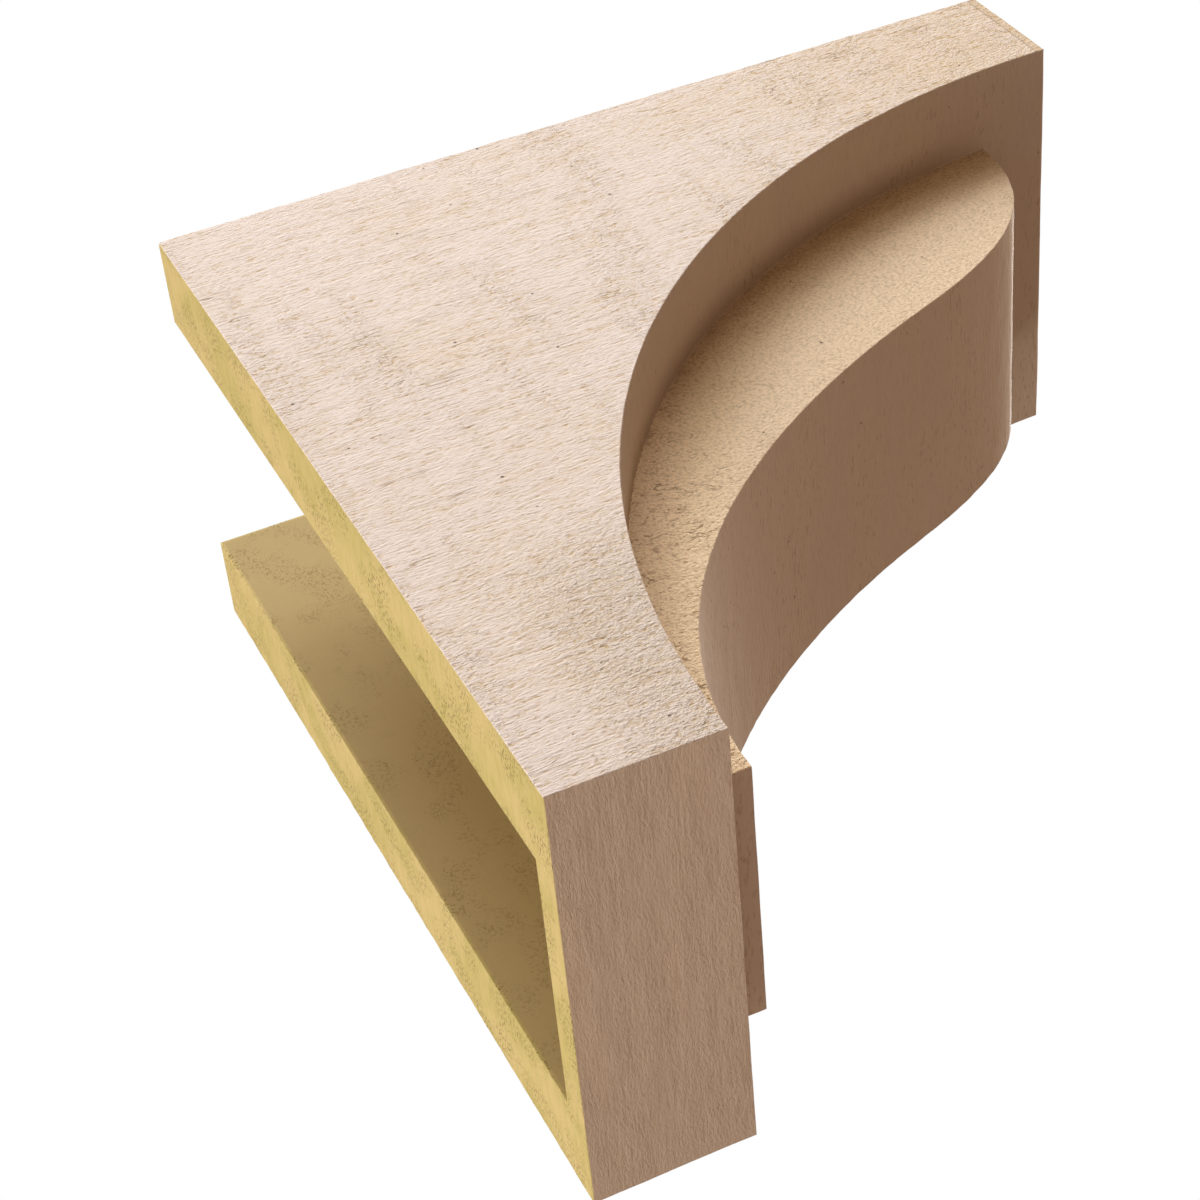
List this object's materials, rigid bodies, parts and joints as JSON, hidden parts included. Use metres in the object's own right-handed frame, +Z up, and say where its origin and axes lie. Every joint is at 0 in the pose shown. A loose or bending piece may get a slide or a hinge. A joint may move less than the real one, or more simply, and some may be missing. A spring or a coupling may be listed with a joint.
{
  "type": "urethane corbel",
  "caption": "Faux-wood urethane corbel: scooped cheeks with an ogee tongue between them, hollow behind, fixed flat to a wall under a shelf or beam.",
  "frame": {"origin": "centre of the bottom rim's back face, where the corbel lies on the wall", "axes": "+Z up, +Y into the wall, so the front faces -Y; +X to the right for someone who faces the wall"},
  "size_m": [0.1524, 0.3048, 0.3048],
  "materials": {
    "faux_wood": "primed tan skin with rough-sawn timber grain; bare yellow urethane foam on the back and in the hollow"
  },
  "bodies": {
    "root": {"corbel": "faux_wood"}
  },
  "joints": []
}
